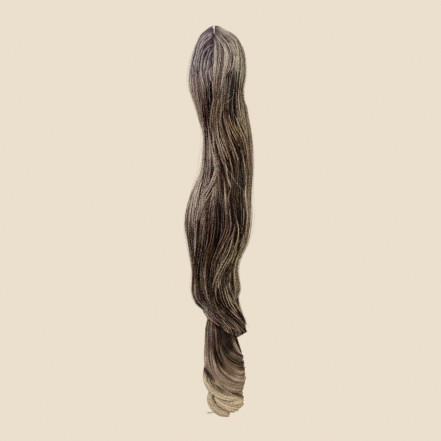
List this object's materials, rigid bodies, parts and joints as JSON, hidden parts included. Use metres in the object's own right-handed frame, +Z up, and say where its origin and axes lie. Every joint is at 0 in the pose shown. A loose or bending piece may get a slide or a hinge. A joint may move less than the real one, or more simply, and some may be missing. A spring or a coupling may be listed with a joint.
{
  "type": "bundle of braiding hair",
  "caption": "Hank of loose wavy false hair, tied and folded at the top, dark ash brown fading to blond, ending in a ringlet; worn by braiding it into hair.",
  "frame": {"origin": "top of the tie, at the foot of the parting, where the bundle hangs", "axes": "+Z up along the hanging length, +X to the right seen from the front, +Y away from the viewer"},
  "size_m": [0.0879, 0.0608, 0.5091],
  "materials": {
    "dark_hair": "loose ash brown synthetic hair, satin",
    "ash_hair": "loose taupe synthetic hair, satin",
    "blond_hair": "loose blond synthetic hair, satin",
    "tie_thread": "wound dark thread, matte"
  },
  "bodies": {
    "root": {"left_lock": "dark_hair", "front_left_lock": "dark_hair", "front_middle_lock": "dark_hair", "front_right_lock": "dark_hair", "right_lock": "dark_hair", "back_right_lock": "dark_hair", "back_middle_lock": "dark_hair", "back_left_lock": "dark_hair", "upper_curl": "ash_hair", "middle_curl": "blond_hair", "lower_curl": "blond_hair", "curl_tail": "blond_hair", "tie": "tie_thread"}
  },
  "joints": []
}
